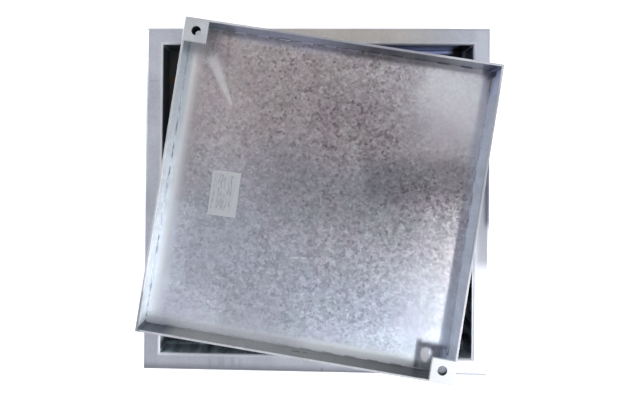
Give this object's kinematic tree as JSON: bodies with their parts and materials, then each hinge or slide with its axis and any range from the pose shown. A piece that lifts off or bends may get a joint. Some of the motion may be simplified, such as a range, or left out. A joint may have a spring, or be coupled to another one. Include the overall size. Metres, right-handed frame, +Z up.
{
  "type": "recessed paving cover",
  "caption": "Square recessed paving cover: a shallow galvanised steel tray with drilled lifting corners, lying askew on its folded steel frame with a seat ledge.",
  "frame": {"origin": "middle of the frame's opening, on the plane that the frame stands on; the box's middle lies a few mm from it, because the tray lies a little off centre", "axes": "+Z up, +X to the right and +Y to the back of the frame, along its sides"},
  "size_m": [0.6738, 0.6745, 0.103],
  "materials": {
    "frame_zinc": "hot-dip galvanised, satin",
    "bar_zinc": "hot-dip galvanised, satin",
    "floor_zinc": "galvanised sheet with fine spangle, half gloss",
    "plate_zinc": "hot-dip galvanised, satin",
    "weld_zinc": "galvanised weld metal, dull",
    "label_paper": "matt sticker, bare"
  },
  "bodies": {
    "root": {"frame_rail_back": "frame_zinc", "frame_rail_left": "frame_zinc", "frame_rail_front": "frame_zinc", "frame_rail_right": "frame_zinc", "frame_corner_weld_back_left": "weld_zinc", "frame_flange_weld_back_left": "weld_zinc", "frame_corner_weld_front_left": "weld_zinc", "frame_flange_weld_front_left": "weld_zinc", "frame_corner_weld_front_right": "weld_zinc", "frame_flange_weld_front_right": "weld_zinc", "frame_corner_weld_back_right": "weld_zinc", "frame_flange_weld_back_right": "weld_zinc", "tray_bar_back": "bar_zinc", "tray_bar_left": "bar_zinc", "tray_bar_front": "bar_zinc", "tray_bar_right": "bar_zinc", "tray_floor": "floor_zinc", "stitch_welds_back": "weld_zinc", "stitch_welds_left": "weld_zinc", "stitch_welds_front": "weld_zinc", "stitch_welds_right": "weld_zinc", "tray_corner_weld_back_left": "weld_zinc", "tray_corner_weld_front_left": "weld_zinc", "tray_corner_weld_front_right": "weld_zinc", "tray_corner_weld_back_right": "weld_zinc", "corner_plate_back_left": "plate_zinc", "corner_plate_front_right": "plate_zinc", "floor_label": "label_paper"}
  },
  "joints": []
}
